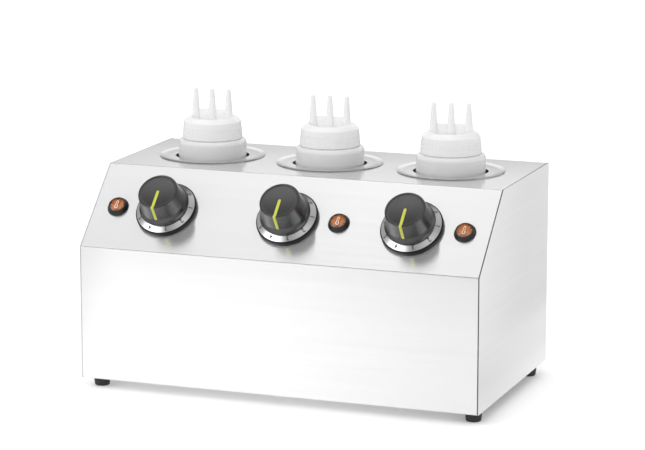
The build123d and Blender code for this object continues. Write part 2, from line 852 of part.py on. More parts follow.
# ================================================================ signal lamps
def make_lamp(x, body_name, lens_name):
    """Round signal lamp: threaded barrel with a conical collar, and its lens."""
    plane = on_slope(x)
    with BuildPart() as lamp:
        turned(
            plane,
            [
                (0, -lamp_barrel_l),
                (lamp_barrel_r - lamp_barrel_chamfer, -lamp_barrel_l),
                (lamp_barrel_r, -lamp_barrel_l + lamp_barrel_chamfer),
                (lamp_barrel_r, 0),
                (lamp_r, 0),
                (lamp_r, lamp_edge_h),
                (lamp_top_r, lamp_h),
                (lens_r + lens_gap, lamp_h),
                (lens_r + lens_gap, lens_seat_h),
                (lens_r - lamp_ledge, lens_seat_h),
                (lens_r - lamp_ledge, -lamp_cavity_l),
                (0, -lamp_cavity_l),
            ],
        )
        with BuildSketch(plane.offset(-lamp_barrel_l)):
            with GridLocations(lamp_blade_pitch, 1, 2, 1):
                Rectangle(blade_t, lamp_blade_w)
        extrude(amount=-blade_l)
    save(lamp, body_name)
    with BuildPart() as lens:
        with BuildSketch(through(plane)) as outline:
            with BuildLine():
                Polyline((0, lens_seat_h), (lens_r, lens_seat_h), (lens_r, lens_rim_h))
                SagittaArc((lens_r, lens_rim_h), (-lens_r, lens_rim_h), lens_dome)
                Polyline((-lens_r, lens_rim_h), (-lens_r, lens_seat_h), (0, lens_seat_h))
            make_face()
            split(bisect_by=Plane.YZ, keep=Keep.TOP)
        revolve(outline.sketch, axis=axis_of(plane))
    save(lens, lens_name)


def hexagon(across_flats):
    RegularPolygon(across_flats / 2, 6, major_radius=False)


def make_lamp_nuts():
    with BuildPart() as nuts:
        for x in lamp_xs:
            with BuildSketch(on_slope(x).offset(-sheet_t)) as nut:
                hexagon(lamp_nut_af)
                Circle(lamp_barrel_r + thread_gap, mode=Mode.SUBTRACT)
            extrude(nut.sketch, amount=-lamp_nut_t)
    save(nuts, "lamp_nuts")


# ================================================================ cable entry
def make_gland():
    """Cable gland: threaded stub, hexagon and domed clamping nut, bored right through."""
    seat = Plane((gland_x, rear_y, base_z + gland_z), x_dir=(-1, 0, 0), z_dir=(0, 1, 0))
    nut_r = gland_nut_af / 2
    clear_r = 2 * nut_r
    with BuildPart() as gland:
        with BuildSketch(seat.offset(-sheet_t - gland_inner_l)):
            Circle(gland_thread_r)
        extrude(amount=sheet_t + gland_inner_l)
        with BuildSketch(seat) as hexed:
            hexagon(gland_hex_af)
        extrude(amount=gland_hex_t)
        with BuildSketch(seat.offset(gland_hex_t)) as nut:
            hexagon(gland_nut_af)
        extrude(amount=gland_nut_l)
        # turn the far end of the nut to a dome
        dome = gland_hex_t + gland_nut_l
        turned(
            seat,
            [
                (gland_bore_r + gland_lip, dome),
                (gland_dome_r, dome - gland_dome_lip),
                (nut_r, dome - gland_dome_shoulder),
                (clear_r, dome - gland_dome_h),
                (clear_r, dome),
            ],
            mode=Mode.SUBTRACT,
        )
        with BuildSketch(seat.offset(-sheet_t - gland_inner_l)):
            Circle(gland_bore_r)
        extrude(amount=sheet_t + gland_inner_l + dome, mode=Mode.SUBTRACT)
    save(gland, "cable_gland")
    with BuildPart() as locknut:
        with BuildSketch(seat.offset(-sheet_t)):
            hexagon(locknut_af)
            Circle(gland_thread_r + thread_gap, mode=Mode.SUBTRACT)
        extrude(amount=-locknut_t)
    save(locknut, "gland_locknut")


def make_terminal_block():
    """Mains terminal block on the base plate, between the second and the third well."""
    block_x = (stations[1] + stations[2]) / 2
    centre = Plane((block_x, rear_y - block_rear, base_z + 2 * sheet_t))
    pole_pitch = block_l / block_poles
    poles = [(k - (block_poles - 1) / 2) * pole_pitch for k in range(block_poles)]
    with BuildPart() as block:
        with BuildSketch(centre):
            Rectangle(block_l, block_w)
        extrude(amount=block_slot_h)
        with BuildSketch(centre):
            with Locations(*[(x, 0) for x in poles]):
                Rectangle(pole_pitch - block_slot_w, block_w)
        extrude(amount=block_h)
        with BuildSketch(centre.offset(block_h)):
            with GridLocations(pole_pitch, block_w / 2, block_poles, 2):
                Circle(block_screw_r)
        extrude(amount=-block_screw_depth, mode=Mode.SUBTRACT)
        with BuildSketch(through(centre).offset(-block_w)):
            with Locations(*[(x, block_wire_h) for x in poles]):
                Circle(block_wire_r)
        extrude(amount=2 * block_w, mode=Mode.SUBTRACT)
    save(block, "terminal_block")


# ================================================================ bottles and caps
def bottle_plane(x, turn):
    """Plane at the well's mouth, turned as the bottle stands in it."""
    return Plane((x, front_y + well_y, top_z)).rotated((0, 0, turn))


def make_bottle(x, turn, name):
    """Blown squeeze bottle, open at its neck."""
    plane = bottle_plane(x, turn)
    inner_r = bottle_r - bottle_wall
    low = -well_depth
    arc_low = shoulder_h - shoulder_arc
    seat_r = bottle_r - shoulder_arc
    mouth = shoulder_h + neck_h
    ring_top = shoulder_h + neck_ring_h
    inner_neck = neck_r - neck_wall
    stand_r = bottle_r - bottle_base_r - bottle_stand_w
    with BuildPart() as bottle:
        with BuildSketch(through(plane)) as wall:
            with BuildLine():
                Line((0, low + bottle_pushup), (bottle_pushup_r, low + bottle_pushup))
                Line(
                    (bottle_pushup_r, low + bottle_pushup),
                    (stand_r, low),
                )
                Line((stand_r, low), (bottle_r - bottle_base_r, low))
                RadiusArc(
                    (bottle_r - bottle_base_r, low),
                    (bottle_r, low + bottle_base_r),
                    -bottle_base_r,
                )
                Line((bottle_r, low + bottle_base_r), (bottle_r, arc_low))
                RadiusArc((bottle_r, arc_low), (seat_r, shoulder_h), -shoulder_arc)
                Polyline(
                    (seat_r, shoulder_h),
                    (neck_ring_r, shoulder_h),
                    (neck_ring_r, ring_top - neck_ring_edge),
                    (neck_ring_r - neck_ring_edge, ring_top),
                    (neck_r, ring_top),
                    (neck_r, mouth),
                    (inner_neck, mouth),
                    (inner_neck, shoulder_h - bottle_wall),
                    (seat_r, shoulder_h - bottle_wall),
                )
                RadiusArc(
                    (seat_r, shoulder_h - bottle_wall),
                    (inner_r, arc_low),
                    shoulder_arc - bottle_wall,
                )
                Line((inner_r, arc_low), (inner_r, low + bottle_base_r))
                RadiusArc(
                    (inner_r, low + bottle_base_r),
                    (bottle_r - bottle_base_r, low + bottle_wall),
                    bottle_base_r - bottle_wall,
                )
                Polyline(
                    (bottle_r - bottle_base_r, low + bottle_wall),
                    (stand_r + bottle_wall / 3, low + bottle_wall),
                    (bottle_pushup_r, low + bottle_pushup + bottle_wall),
                    (0, low + bottle_pushup + bottle_wall),
                    (0, low + bottle_pushup),
                )
            make_face()
        revolve(wall.sketch, axis=axis_of(plane))
    save(bottle, name)


def nozzle_radius(height):
    """Outer radius of a nozzle at a height above the cap's top."""
    return nozzle_base_r + (nozzle_tip_r - nozzle_base_r) * height / nozzle_h


def make_cap(x, turn, name):
    """Ribbed screw cap with a recessed top and three conical nozzles on a bridge."""
    plane = bottle_plane(x, turn).offset(shoulder_h + cap_gap)
    seal_h = neck_h - cap_gap
    inner_skirt = neck_r + cap_thread_gap
    recess_z = cap_h - cap_recess_depth
    tip_z = cap_h + nozzle_h
    bore_low = recess_z - 2 * cap_wall
    nozzle_low = recess_z - cap_wall
    low_r = nozzle_radius(nozzle_low - cap_h)
    skirt_slope = (cap_skirt_r - cap_shoulder_r) / cap_shoulder_h
    rib_top_r = cap_skirt_r - skirt_slope * cap_rib_h
    with BuildPart() as cap:
        turned(
            plane,
            [
                (inner_skirt + cap_lead, 0),
                (cap_skirt_r, 0),
                (cap_shoulder_r, cap_shoulder_h),
                (cap_shoulder_r - cap_edge, cap_shoulder_h + 2 * cap_edge),
                (cap_top_r + cap_edge, cap_h - cap_edge),
                (cap_top_r - cap_edge, cap_h),
                (cap_recess_r, cap_h),
                (cap_recess_floor_r, recess_z),
                (0, recess_z),
                (0, recess_z - cap_wall),
                (cap_recess_floor_r + cap_edge, recess_z - cap_wall),
                (cap_recess_r + 2 * cap_edge, cap_h - cap_wall),
                (cap_top_r - 3 * cap_edge, cap_h - cap_wall),
                (neck_r - neck_wall - cap_seal, seal_h),
                (inner_skirt, seal_h),
                (inner_skirt, 2 * cap_lead),
            ],
        )
        # grip ribs, as high as the thread
        with BuildSketch(through(plane)) as rib:
            with BuildLine():
                Polyline(
                    (cap_skirt_r - cap_rib_root, cap_rib_low),
                    (cap_skirt_r + cap_rib_proud / 2, cap_rib_low),
                    (rib_top_r + cap_rib_proud, cap_rib_h - cap_rib_root),
                    (rib_top_r - cap_rib_proud, cap_rib_h + cap_rib_root),
                    close=True,
                )
            make_face()
        one_rib = extrude(rib.sketch, amount=cap_rib_w / 2, both=True, mode=Mode.PRIVATE)
        step = 360 / cap_rib_count
        ribs = [one_rib.rotate(axis_of(plane), step * k) for k in range(cap_rib_count)]
        add(ribs)
        # bridge between the nozzles, standing in the recess
        with BuildSketch(through(plane)) as web:
            with BuildLine():
                Polyline(
                    (-nozzle_pitch, recess_z - web_root),
                    (nozzle_pitch, recess_z - web_root),
                    (nozzle_pitch, cap_h + web_h),
                    (-nozzle_pitch, cap_h + web_h),
                    close=True,
                )
            make_face()
        extrude(web.sketch, amount=web_t / 2, both=True)
        for k in (-1, 0, 1):
            spout = Plane(plane.origin + plane.x_dir * (k * nozzle_pitch), z_dir=plane.z_dir)
            turned(
                spout,
                [
                    (0, nozzle_low),
                    (low_r, nozzle_low),
                    (nozzle_radius(nozzle_h - nozzle_tip_round), tip_z - nozzle_tip_round),
                    (nozzle_tip_r - nozzle_tip_round, tip_z),
                    (0, tip_z),
                ],
            )
        for k in (-1, 0, 1):
            spout = Plane(plane.origin + plane.x_dir * (k * nozzle_pitch), z_dir=plane.z_dir)
            turned(
                spout,
                [
                    (0, bore_low),
                    (nozzle_base_bore_r, bore_low),
                    (nozzle_base_bore_r, nozzle_low + 1),
                    (nozzle_tip_bore_r, tip_z - nozzle_bore_taper),
                    (nozzle_tip_bore_r, tip_z + 1),
                    (0, tip_z + 1),
                ],
                mode=Mode.SUBTRACT,
            )
    save(cap, name)


# ================================================================ build everything
make_wrap_panel()
make_side_panel(-1, "left_side_panel")
make_side_panel(1, "right_side_panel")
make_rear_panel()
make_base_plate()
foot_names = ("foot_front_left", "foot_front_right", "foot_rear_left", "foot_rear_right")
for (foot_x, foot_y), foot_name in zip(foot_places(), foot_names):
    make_foot(foot_x, foot_y, foot_name)
make_case_screws()
make_clamp_screws()
make_stat_screws()
make_lamp_nuts()
make_gland()
make_terminal_block()
for number, station_x in enumerate(stations, start=1):
    make_well(station_x, f"bottle_well_{number}")
    make_heater_band(station_x, f"heater_band_{number}")
    make_thermostat(station_x, f"thermostat_{number}")
    make_shaft(station_x, f"thermostat_shaft_{number}")
    make_sensor(station_x, f"sensor_bulb_{number}")
    make_bezel(station_x, f"dial_bezel_{number}")
    make_scale(station_x, f"dial_scale_{number}")
    make_knob(station_x, f"knob_{number}", f"knob_pointer_{number}")
    make_lamp(lamp_xs[number - 1], f"lamp_body_{number}", f"lamp_lens_{number}")
    turn = bottle_turns[number - 1]
    make_bottle(station_x, turn, f"bottle_{number}")
    make_cap(station_x, turn, f"nozzle_cap_{number}")
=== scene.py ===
"""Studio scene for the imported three-bottle topping warmer: finishes, small print and light."""
import json
from math import atan2, cos, pi, radians, sin

import bmesh
import bpy
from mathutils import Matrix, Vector


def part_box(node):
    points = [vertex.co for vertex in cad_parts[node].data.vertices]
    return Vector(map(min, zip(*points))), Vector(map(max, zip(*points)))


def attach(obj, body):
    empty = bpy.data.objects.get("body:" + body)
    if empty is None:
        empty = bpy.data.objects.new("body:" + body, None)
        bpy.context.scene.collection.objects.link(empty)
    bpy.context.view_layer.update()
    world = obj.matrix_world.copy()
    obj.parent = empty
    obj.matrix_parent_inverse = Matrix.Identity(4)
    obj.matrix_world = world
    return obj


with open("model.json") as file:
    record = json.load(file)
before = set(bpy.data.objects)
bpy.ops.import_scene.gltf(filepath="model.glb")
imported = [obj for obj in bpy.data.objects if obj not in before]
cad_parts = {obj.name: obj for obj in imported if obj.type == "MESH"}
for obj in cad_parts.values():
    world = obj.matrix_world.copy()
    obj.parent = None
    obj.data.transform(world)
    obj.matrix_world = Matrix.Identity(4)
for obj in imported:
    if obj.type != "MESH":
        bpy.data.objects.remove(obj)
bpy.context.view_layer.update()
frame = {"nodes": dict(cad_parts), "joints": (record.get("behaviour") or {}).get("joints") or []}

NODES = frame["nodes"]
STATIONS = (1, 2, 3)


# ---------------------------------------------------------------- node graph helpers
def new_node(tree, kind, inputs=None, **settings):
    """Add a shader node. An input is a value, or another node's output to link."""
    made = tree.nodes.new("ShaderNode" + kind)
    for key, value in settings.items():
        setattr(made, key, value)
    for key, value in (inputs or {}).items():
        if isinstance(value, bpy.types.NodeSocket):
            tree.links.new(value, made.inputs[key])
        else:
            made.inputs[key].default_value = value
    return made


def new_material(name, **values):
    """A Principled material with plain socket values, and its node tree and shader."""
    material = bpy.data.materials.new(name)
    material.use_nodes = True
    tree = material.node_tree
    shader = tree.nodes["Principled BSDF"]
    for key, value in values.items():
        shader.inputs[key.replace("_", " ")].default_value = value
    return material, tree, shader


def object_place(tree, stretch=(1, 1, 1)):
    """The object's own coordinates in metres, scaled along each axis."""
    place = new_node(tree, "TexCoord").outputs["Object"]
    return new_node(tree, "Mapping", {"Vector": place, "Scale": stretch}).outputs[0]


def noise(tree, stretch, detail=2.0, roughness=0.5):
    """Noise whose cells are 1 / stretch metres along each axis."""
    place = object_place(tree, stretch)
    inputs = {"Vector": place, "Scale": 1.0, "Detail": detail, "Roughness": roughness}
    return new_node(tree, "TexNoise", inputs).outputs["Fac"]


def remap(tree, value, low, high, start=0.0, end=1.0):
    """Map start..end of a value to low..high, clamped."""
    inputs = {"Value": value, "From Min": start, "From Max": end, "To Min": low, "To Max": high}
    return new_node(tree, "MapRange", inputs).outputs[0]


def blend_colors(tree, factor, first, second):
    """Mix two colours, each a tuple or a socket, by a factor."""
    mix = new_node(tree, "Mix", data_type="RGBA")
    inputs = (mix.inputs["Factor"], mix.inputs[6], mix.inputs[7])
    for socket, value in zip(inputs, (factor, first, second)):
        if isinstance(value, bpy.types.NodeSocket):
            tree.links.new(value, socket)
        elif isinstance(value, tuple):
            socket.default_value = (*value, 1.0)
        else:
            socket.default_value = value
    return mix.outputs[2]


def combine(tree, operation, *values):
    """A Math node on numbers and sockets."""
    math_node = new_node(tree, "Math", operation=operation)
    for socket, value in zip(math_node.inputs, values):
        if isinstance(value, bpy.types.NodeSocket):
            tree.links.new(value, socket)
        else:
            socket.default_value = value
    return math_node.outputs[0]


def vector_math(tree, operation, *values, out="Vector"):
    """One output of a VectorMath node on vectors and sockets."""
    inputs = dict(enumerate(values))
    return new_node(tree, "VectorMath", inputs, operation=operation).outputs[out]


def mix_levels(tree, factor, first, second):
    """Mix two grey levels by a factor."""
    inputs = {"Factor": factor, 2: first, 3: second}
    return new_node(tree, "Mix", inputs, data_type="FLOAT").outputs[0]


def looks_away(tree, axis):
    """1 on faces that don't look along an axis, and 0 on those that do."""
    normal = new_node(tree, "NewGeometry").outputs["Normal"]
    split = new_node(tree, "SeparateXYZ", {"Vector": normal})
    facing = combine(tree, "ABSOLUTE", split.outputs[axis])
    return remap(tree, facing, 1.0, 0.0, 0.3, 0.9)


def add_bump(tree, shader, height, strength, distance):
    bump = new_node(tree, "Bump", {"Height": height, "Strength": strength, "Distance": distance})
    tree.links.new(bump.outputs["Normal"], shader.inputs["Normal"])


def set_roughness(tree, shader, fine, low, high, coarse, swing):
    """Roughness of low to high by a fine pattern, plus or minus a swing by a coarse one."""
    rough = combine(
        tree,
        "ADD",
        remap(tree, fine, low, high, 0.3, 0.7),
        remap(tree, coarse, -swing, swing, 0.3, 0.7),
    )
    tree.links.new(rough, shader.inputs["Roughness"])


# ---------------------------------------------------------------- finishes
sheet_metallic = 0.78    # under 1, so that mirrored black parts aren't too dark
stroke_cells = (2400.0, 16.0)    # cells per metre, across and along the strokes
band_cells = (150.0, 3.0)
fold_blend = 0.03        # cosine over which the bend's painted shade sets in
cut_edge_depth = 0.0004  # how far inside its radius a flange's cut edge and its painted shade set in


def brushed_metal(name, tone, grain, polish, spin, painted_edge_shade=None, fold=None):
    """Steel with a fine grain and soft bands.

    grain is the index of the axis that the strokes run along, and spin the axis that the shader's
    tangent turns about. The edge tone, partly the duller cut edge and partly painted shade of the
    seam, colours the faces that don't look sideways, such as a side panel's cut edges. fold is the
    direction that the middle of a bend faces, the cosine to where it ends, and the painted shade
    laid on the bend for the dark that it mirrors.
    """
    material, tree, shader = new_material(name, Metallic=sheet_metallic, Anisotropic=1.0)
    fine_stretch = [stroke_cells[0]] * 3
    fine_stretch[grain] = stroke_cells[1]
    band_stretch = [band_cells[0]] * 3
    band_stretch[grain] = band_cells[1]
    fine = noise(tree, fine_stretch, detail=3.0, roughness=0.6)
    bands = noise(tree, band_stretch, detail=2.0)
    cloud = noise(tree, (9.0, 9.0, 9.0), detail=1.0)
    fine_part = combine(tree, "MULTIPLY", fine, 0.55)
    band_part = combine(tree, "MULTIPLY", bands, 0.45)
    strokes = combine(tree, "ADD", fine_part, band_part)
    dark = tuple(channel * 0.97 for channel in tone)
    light = tuple(min(channel * 1.02, 1.0) for channel in tone)
    color = blend_colors(tree, remap(tree, strokes, 0.0, 1.0, 0.36, 0.64), dark, light)
    # painted shade: faces that don't look sideways get the edge tone, partly the duller cut edge
    if painted_edge_shade:
        color = blend_colors(tree, looks_away(tree, "X"), color, painted_edge_shade)
    # painted shade: the bend is painted darker for the dark that it mirrors
    if fold:
        direction, bend_end, fold_painted_shade = fold
        normal = new_node(tree, "NewGeometry").outputs["Normal"]
        facing = vector_math(tree, "DOT_PRODUCT", normal, tuple(direction), out="Value")
        fold_shade_mask = remap(tree, facing, 0.0, 1.0, bend_end, bend_end + fold_blend)
        color = blend_colors(tree, fold_shade_mask, color, fold_painted_shade)
    tree.links.new(color, shader.inputs["Base Color"])
    set_roughness(tree, shader, strokes, polish - 0.010, polish + 0.012, cloud, 0.006)
    tangent = new_node(tree, "Tangent", direction_type="RADIAL", axis=spin)
    tree.links.new(tangent.outputs[0], shader.inputs["Tangent"])
    add_bump(tree, shader, fine, 0.006, 0.0002)
    return material


def turned_metal(name, tone, polish, ripple=1500.0, cut_edge=None):
    """Metal with fine concentric strokes about the upright axis through the piece's middle.

    cut_edge is a centre, a radius and a tone: upright faces at that radius are the cut edge,
    painted darker, partly for its dull finish and partly as painted shade.
    """
    material, tree, shader = new_material(name, Metallic=1.0)
    place = new_node(tree, "TexCoord").outputs["Generated"]
    centred = vector_math(tree, "SUBTRACT", place, (0.5, 0.5, 0.0))
    parts = new_node(tree, "SeparateXYZ", {"Vector": centred})
    across = combine(tree, "POWER", parts.outputs["X"], 2.0)
    deep = combine(tree, "POWER", parts.outputs["Y"], 2.0)
    radius = combine(tree, "SQRT", combine(tree, "ADD", across, deep))
    ring = new_node(tree, "CombineXYZ", {"X": radius, "Y": parts.outputs["Z"]})
    inputs = {"Vector": ring.outputs[0], "Scale": ripple * 0.1, "Detail": 3.0}
    rings = new_node(tree, "TexNoise", inputs).outputs["Fac"]
    cloud = noise(tree, (30.0, 30.0, 30.0))
    dark = tuple(channel * 0.92 for channel in tone)
    color = blend_colors(tree, remap(tree, rings, 0.0, 1.0, 0.35, 0.65), dark, tone)
    # painted shade on the upright cut edge, partly its dull finish
    if cut_edge:
        centre, edge_r, painted_edge_shade = cut_edge
        spot = new_node(tree, "TexCoord").outputs["Object"]
        flat = vector_math(tree, "MULTIPLY", spot, (1, 1, 0))
        reach = vector_math(tree, "DISTANCE", flat, (centre.x, centre.y, 0), out="Value")
        beyond = remap(tree, reach, 0.0, 1.0, edge_r - cut_edge_depth, edge_r)
        on_edge = combine(tree, "MULTIPLY", looks_away(tree, "Z"), beyond)
        color = blend_colors(tree, on_edge, color, painted_edge_shade)
    tree.links.new(color, shader.inputs["Base Color"])
    set_roughness(tree, shader, rings, polish - 0.02, polish + 0.03, cloud, 0.02)
    add_bump(tree, shader, rings, 0.05, 0.0002)
    return material


def moulded_plastic(
    name, tone, polish, grain=3200.0, depth=0.25, mottle=0.15, dome=None, **values
):
    """Moulded plastic or rubber: a fine spark-eroded grain and slightly uneven colour.

    dome is a centre, an axis, a sphere's radius and a limit from that axis. Within the limit the
    face is shaded as if it swelled a little. Its shape stays flat.
    """
    material, tree, shader = new_material(name, **values)
    fine = noise(tree, (grain, grain, grain), detail=2.0)
    patch = noise(tree, (55.0, 55.0, 55.0), detail=2.0)
    low = tuple(channel * (1.0 - mottle) for channel in tone)
    high = tuple(min(channel * (1.0 + mottle), 1.0) for channel in tone)
    color = blend_colors(tree, remap(tree, patch, 0.0, 1.0, 0.3, 0.7), low, high)
    tree.links.new(color, shader.inputs["Base Color"])
    set_roughness(tree, shader, fine, polish - 0.05, polish + 0.05, patch, 0.03)
    add_bump(tree, shader, fine, depth, 0.00012)
    if dome:
        centre, axis, ball, limit = dome
        place = new_node(tree, "TexCoord").outputs["Object"]
        offset = vector_math(tree, "SUBTRACT", place, tuple(centre))
        height = vector_math(tree, "DOT_PRODUCT", offset, tuple(axis), out="Value")
        length = vector_math(tree, "LENGTH", offset, out="Value")
        length_square = combine(tree, "POWER", length, 2.0)
        height_square = combine(tree, "POWER", height, 2.0)
        square = combine(tree, "SUBTRACT", length_square, height_square)
        within = combine(tree, "MINIMUM", square, limit ** 2)
        swell = combine(tree, "MULTIPLY", within, -0.5 / ball)
        raised = new_node(tree, "Bump", {"Height": swell, "Strength": 1.0, "Distance": 1.0})
        grain_bump = shader.inputs["Normal"].links[0].from_node
        tree.links.new(raised.outputs["Normal"], grain_bump.inputs["Normal"])
    return material


def frosted_plastic(name, top_tone, shaded_low_tone, top_z, low_z, polish):
    """Milky polyethylene, painted greyer down towards the well as painted shade, with soft flow
    marks.
    """
    scatter = {"Subsurface_Weight": 0.25, "Subsurface_Scale": 0.004}
    material, tree, shader = new_material(
        name, IOR=1.5, Subsurface_Radius=(1.0, 1.0, 1.0), **scatter
    )
    height = new_node(tree, "SeparateXYZ", {"Vector": object_place(tree)}).outputs["Z"]
    # painted shade: the colour runs from the top tone down to the darker low tone
    painted_shade_down = remap(tree, height, 1.0, 0.0, low_z, top_z)
    flow = noise(tree, (60.0, 60.0, 420.0), detail=2.0)
    uneven = combine(tree, "ADD", painted_shade_down, remap(tree, flow, -0.12, 0.12, 0.3, 0.7))
    limited = new_node(tree, "Clamp", {"Value": uneven}).outputs[0]
    tree.links.new(blend_colors(tree, limited, top_tone, shaded_low_tone), shader.inputs["Base Color"])
    fine = noise(tree, (1800.0, 1800.0, 1800.0))
    set_roughness(tree, shader, fine, polish - 0.05, polish + 0.05, flow, 0.04)
    add_bump(tree, shader, combine(tree, "ADD", fine, flow), 0.12, 0.0002)
    return material


def lamp_glass(name, centre, up, inner, outer):
    """Amber lens: bright in its middle with a painted highlight towards its top, dark and red
    towards the rim, with a moulded star grain.
    """
    material, tree, shader = new_material(
        name, IOR=1.5, Roughness=0.12, Coat_Weight=0.6, Coat_Roughness=0.05
    )
    place = new_node(tree, "TexCoord").outputs["Object"]
    offset = vector_math(tree, "SUBTRACT", place, tuple(centre))
    distance = vector_math(tree, "LENGTH", offset, out="Value")
    height = vector_math(tree, "DOT_PRODUCT", offset, tuple(up), out="Value")
    cells = object_place(tree, (420.0, 420.0, 420.0))
    facets = new_node(tree, "TexVoronoi", {"Vector": cells, "Scale": 1.0}).outputs["Distance"]
    rim = remap(tree, distance, 0.0, 1.0, 0.0046, 0.0084)
    # painted highlight: the lens is lighter up the slope, for the light it mirrors from above
    glow = remap(tree, height, 0.0, 0.35, -0.008, 0.008)
    grain = remap(tree, facets, -0.48, 0.48, 0.0, 0.8)
    shade = combine(tree, "SUBTRACT", combine(tree, "ADD", rim, grain), glow)
    limited = new_node(tree, "Clamp", {"Value": shade}).outputs[0]
    tree.links.new(blend_colors(tree, limited, inner, outer), shader.inputs["Base Color"])
    add_bump(tree, shader, facets, 0.08, 0.0004)
    return material


steel = (0.86, 0.86, 0.865)
# side panels' cut edges: partly their duller tone, partly painted shade; the right is painted near
# black as the seam's shade
left_edge_painted_shade = (0.62, 0.62, 0.63)
right_seam_painted_shade = (0.10, 0.10, 0.105)
# painted shade laid along the bend between the front and the slope
fold_painted_shade = (0.56, 0.56, 0.565)
fold_margin = 0.008      # the bend's painted shade sets in this cosine inside the bend's end
well_tone = (0.77, 0.77, 0.78)
# wells' cut edges: partly their dull finish, partly painted shade of the rim's contact line and
# what it mirrors
well_edge_painted_shade = (0.34, 0.34, 0.34)
lens_inner = (0.52, 0.160, 0.026)
lens_outer = (0.035, 0.007, 0.002)
lens_highlight_h = 0.0045     # middle of the lens's bright part and its painted highlight, above the panel
knob_swell = (0.138, 0.0212)     # sphere's radius, and how far out the knob's face swells

# the two side finishes differ only in their edges' painted shade
left_finish = brushed_metal("brushed_left_side", steel, 1, 0.13, "Y", left_edge_painted_shade)
right_finish = brushed_metal("brushed_right_side", steel, 1, 0.13, "Y", right_seam_painted_shade)
rear_finish = brushed_metal("brushed_rear", steel, 0, 0.155, "X")
base_finish = brushed_metal("brushed_base", (0.72, 0.72, 0.73), 0, 0.36, "X")
screw_finish = turned_metal("zinc_screws", (0.66, 0.66, 0.67), 0.26)
shaft_finish = turned_metal("turned_shaft", (0.70, 0.70, 0.71), 0.22)
scale_finish = turned_metal("satin_scale", (0.80, 0.80, 0.81), 0.20)
heater_finish = brushed_metal("heater_sheath", (0.60, 0.59, 0.57), 2, 0.38, "Z")
copper_finish = turned_metal("bare_copper", (0.72, 0.42, 0.26), 0.30)
rubber_finish = moulded_plastic(
    "foot_rubber", (0.022, 0.022, 0.023), 0.62, grain=1500.0, depth=0.4, mottle=0.25
)
bezel_finish = moulded_plastic(
    "bezel_black", (0.006, 0.006, 0.0065), 0.36, Specular_IOR_Level=0.35
)
case_finish = moulded_plastic(
    "lamp_body_black", (0.011, 0.011, 0.012), 0.33, Specular_IOR_Level=0.4
)
gland_finish = moulded_plastic("gland_black", (0.018, 0.018, 0.019), 0.45)
block_finish = moulded_plastic("terminal_plastic", (0.80, 0.77, 0.68), 0.42, mottle=0.06)
stat_finish = moulded_plastic("thermostat_case", (0.78, 0.76, 0.70), 0.30, mottle=0.08)
pointer_finish = moulded_plastic(
    "pointer_lime", (0.57, 0.60, 0.07), 0.42, mottle=0.05, depth=0.12
)
print_finish = moulded_plastic("scale_print", (0.035, 0.035, 0.037), 0.55, mottle=0.3)
symbol_finish = moulded_plastic(
    "symbol_print", (0.86, 0.74, 0.66), 0.40, mottle=0.06, depth=0.08
)


# ---------------------------------------------------------------- places read from the frame
def middle(node):
    low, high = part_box(node)
    return (low + high) / 2


dial_joints = [j for j in frame["joints"] if j["type"] == "hinge"]
slope_normal = -Vector(dial_joints[0]["axis"]).normalized()
slope_up = slope_normal.cross(Vector((1, 0, 0)))
dial_centres = [Vector(j["pos_m"]) for j in dial_joints]
lamp_centres = [
    Vector((middle(f"lamp_lens_{i}").x, dial_centres[0].y, dial_centres[0].z)) for i in STATIONS
]
panel_top_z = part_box("wrap_panel")[1].z
neck_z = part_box("bottle_1")[1].z
well_low, well_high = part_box("bottle_well_1")
well_rim_r = (well_high.x - well_low.x) / 2

front_normal = Vector((0, -1, 0))
fold_facing = (front_normal + slope_normal).normalized()
fold_end = fold_facing.dot(front_normal) + fold_margin
# the wrap gets painted shade along its bend
wrap_finish = brushed_metal(
    "brushed_wrap", steel, 0, 0.155, "X", fold=(fold_facing, fold_end, fold_painted_shade)
)


def on_slope(centre, x, up, height):
    """A point given along the panel, up the slope and out of it, in metres."""
    return centre + Vector((x, 0, 0)) + slope_up * up + slope_normal * height


# ---------------------------------------------------------------- finishes of the CAD pieces
def paint(node, material):
    mesh = NODES[node].data
    if not mesh.materials:
        mesh.materials.append(material)
    for slot_index in range(len(mesh.materials)):
        mesh.materials[slot_index] = material


painted = {
    "wrap_panel": wrap_finish,
    "left_side_panel": left_finish,
    "right_side_panel": right_finish,
    "rear_panel": rear_finish,
    "base_plate": base_finish,
    "rear_screws": screw_finish,
    "base_screws": screw_finish,
    "foot_screws": screw_finish,
    "heater_clamp_screws": screw_finish,
    "thermostat_screws": screw_finish,
    "lamp_nuts": gland_finish,
    "cable_gland": gland_finish,
    "gland_locknut": gland_finish,
    "terminal_block": block_finish,
}
for place in ("front_left", "front_right", "rear_left", "rear_right"):
    painted[f"foot_{place}"] = rubber_finish
